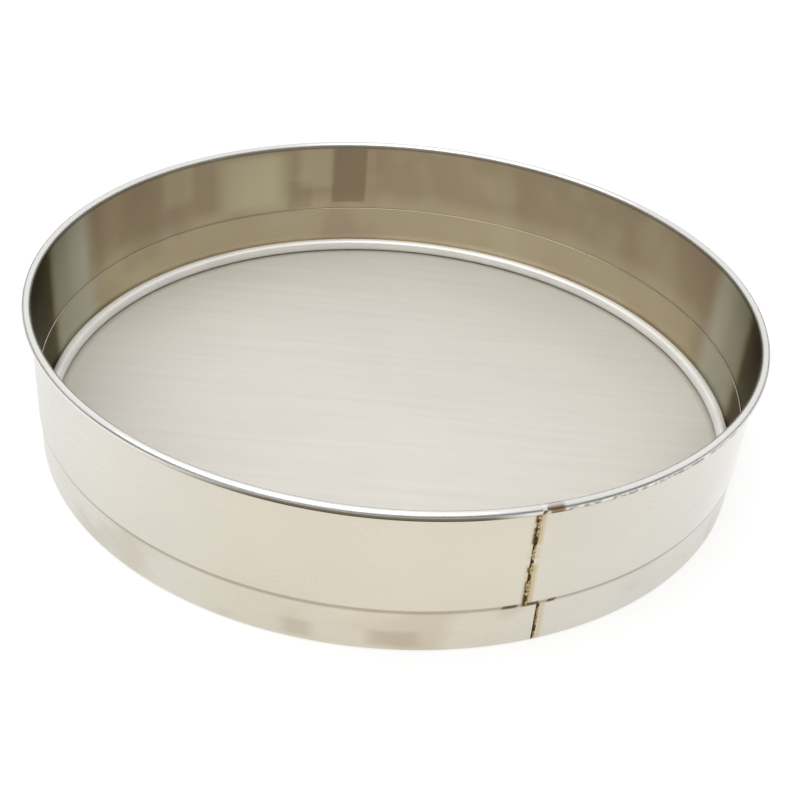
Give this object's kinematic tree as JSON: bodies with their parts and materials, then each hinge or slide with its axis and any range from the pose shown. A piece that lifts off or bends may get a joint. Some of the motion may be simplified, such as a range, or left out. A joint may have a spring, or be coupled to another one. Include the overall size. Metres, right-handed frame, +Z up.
{
  "type": "test sieve",
  "caption": "Round test sieve: rolled steel frame with a curled rim, a nested skirt below it, and fine woven wire cloth held at its edge by a rounded clamp ring.",
  "frame": {"origin": "centre of the base, on the plane that the skirt stands on", "axes": "+Z up along the sieve's axis; -Y is the front, with the welded seams on its +X side"},
  "size_m": [0.306, 0.306, 0.0638],
  "materials": {
    "sheet_steel": "rolled sheet, satin to bright",
    "wire_cloth": "fine plain weave, satin",
    "ring_steel": "bright",
    "weld": "heat-tinted, rough"
  },
  "bodies": {
    "root": {"upper_frame": "sheet_steel", "skirt": "sheet_steel", "mesh_cloth": "wire_cloth", "clamp_ring": "ring_steel", "frame_seam_weld": "weld", "skirt_seam_weld": "weld", "joint_tacks": "weld"}
  },
  "joints": []
}
